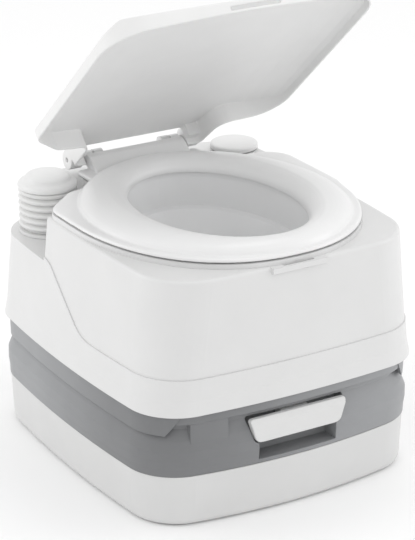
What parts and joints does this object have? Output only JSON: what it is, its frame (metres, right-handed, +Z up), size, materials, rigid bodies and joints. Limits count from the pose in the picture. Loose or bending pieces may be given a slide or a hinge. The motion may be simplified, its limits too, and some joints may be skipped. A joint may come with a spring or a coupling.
{
  "type": "portable cassette toilet",
  "caption": "Portable camping toilet: flush-water section with bowl, hinged seat and lid and a hand bellows pump, standing on a removable waste tank with a slide valve and pour-out spout.",
  "frame": {"origin": "centre of the flat base on the floor", "axes": "+Z up; -Y is the front, the side with the valve handle; +X is to the right of someone looking at the back from the front"},
  "size_m": [0.3828, 0.4267, 0.5722],
  "materials": {
    "white_body": "satin moulded polypropylene",
    "white_lid": "satin moulded polypropylene",
    "white_seat": "satin moulded polypropylene",
    "white_base": "satin moulded polyethylene",
    "white_bowl": "smooth moulded plastic",
    "grey_shell": "satin moulded polyethylene",
    "white_handle": "satin",
    "bellows_white": "soft satin",
    "cap_white": "satin",
    "valve_plastic": "satin",
    "valve_blade_plastic": "satin",
    "seal_rubber": "matte",
    "hose_clear": "translucent milky",
    "spout_grey": "satin",
    "button_grey": "satin",
    "steel": "stainless"
  },
  "bodies": {
    "waste_tank": {"waste_tank_top": "grey_shell", "waste_tank_base": "white_base", "valve_housing": "valve_plastic", "valve_cover": "valve_plastic", "valve_screws": "steel", "valve_lip_seal": "seal_rubber", "spout_seal": "seal_rubber", "spout_retainer": "valve_plastic", "vent_spring": "steel"},
    "upper_section": {"upper_body": "white_body", "tank_floor": "white_body", "bowl": "white_bowl", "outlet_gasket": "seal_rubber", "hinge_pins": "steel", "pump_base": "bellows_white", "pump_bellows": "bellows_white", "pump_valve_disc": "seal_rubber", "pump_dip_tube": "hose_clear", "flush_hose": "hose_clear", "flush_nozzle": "white_bowl", "filler_neck": "cap_white", "filler_cap_seal": "seal_rubber", "latch_pin": "steel", "latch_spring": "steel"},
    "seat": {"seat": "white_seat", "seat_bumpers": "seal_rubber"},
    "lid": {"lid": "white_lid"},
    "pump_button": {"pump_cap": "cap_white"},
    "filler_cap": {"filler_cap": "cap_white"},
    "valve_slide": {"valve_blade": "valve_blade_plastic", "valve_rod": "valve_blade_plastic", "valve_pins": "steel", "valve_handle": "white_handle"},
    "spout": {"pour_spout": "spout_grey"},
    "spout_cap": {"spout_cap": "button_grey", "spout_cap_seal": "seal_rubber"},
    "vent_button": {"vent_button": "button_grey", "vent_seal": "seal_rubber"},
    "rear_latch": {"rear_latch": "grey_shell"}
  },
  "joints": [
    {"name": "section_lift", "type": "slide", "parent": "waste_tank", "child": "upper_section", "axis": [0, 0, 1], "range_m": [0, 0.12]},
    {"name": "lid_hinge", "type": "hinge", "parent": "upper_section", "child": "lid", "pos_m": [0, 0.173, 0.317], "axis": [-1, 0, 0], "range_deg": [-42.5, 53]},
    {"name": "seat_hinge", "type": "hinge", "parent": "upper_section", "child": "seat", "pos_m": [0, 0.173, 0.317], "axis": [-1, 0, 0], "range_deg": [0, 41]},
    {"name": "pump_press", "type": "slide", "parent": "upper_section", "child": "pump_button", "axis": [0, 0, -1], "range_m": [0, 0.03], "stiffness_N_per_m": 600, "springref_m": -0.004, "deforming": ["pump_bellows"]},
    {"name": "filler_cap_turn", "type": "hinge", "parent": "upper_section", "child": "filler_cap", "pos_m": [0.139, 0.156, 0.3], "axis": [0, 0, 1], "range_deg": [0, 90]},
    {"name": "valve_pull", "type": "slide", "parent": "waste_tank", "child": "valve_slide", "axis": [0, -1, 0], "range_m": [0, 0.105]},
    {"name": "spout_swivel", "type": "hinge", "parent": "waste_tank", "child": "spout", "pos_m": [-0.104, 0.176, 0.09], "axis": [0, 0, 1], "range_deg": [0, 90]},
    {"name": "spout_cap_turn", "type": "hinge", "parent": "spout", "child": "spout_cap", "pos_m": [0.02, 0.176, 0.103], "axis": [1, 0, 0], "range_deg": [0, 90]},
    {"name": "vent_press", "type": "slide", "parent": "waste_tank", "child": "vent_button", "axis": [0, -1, 0], "range_m": [0, 0.0035], "stiffness_N_per_m": 400, "springref_m": -0.002, "deforming": ["vent_spring"]},
    {"name": "latch_press", "type": "hinge", "parent": "upper_section", "child": "rear_latch", "pos_m": [0, 0.208, 0.16], "axis": [1, 0, 0], "range_deg": [0, 9], "stiffness_Nm_per_rad": 0.6, "springref_deg": -2.86, "deforming": ["latch_spring"]}
  ]
}
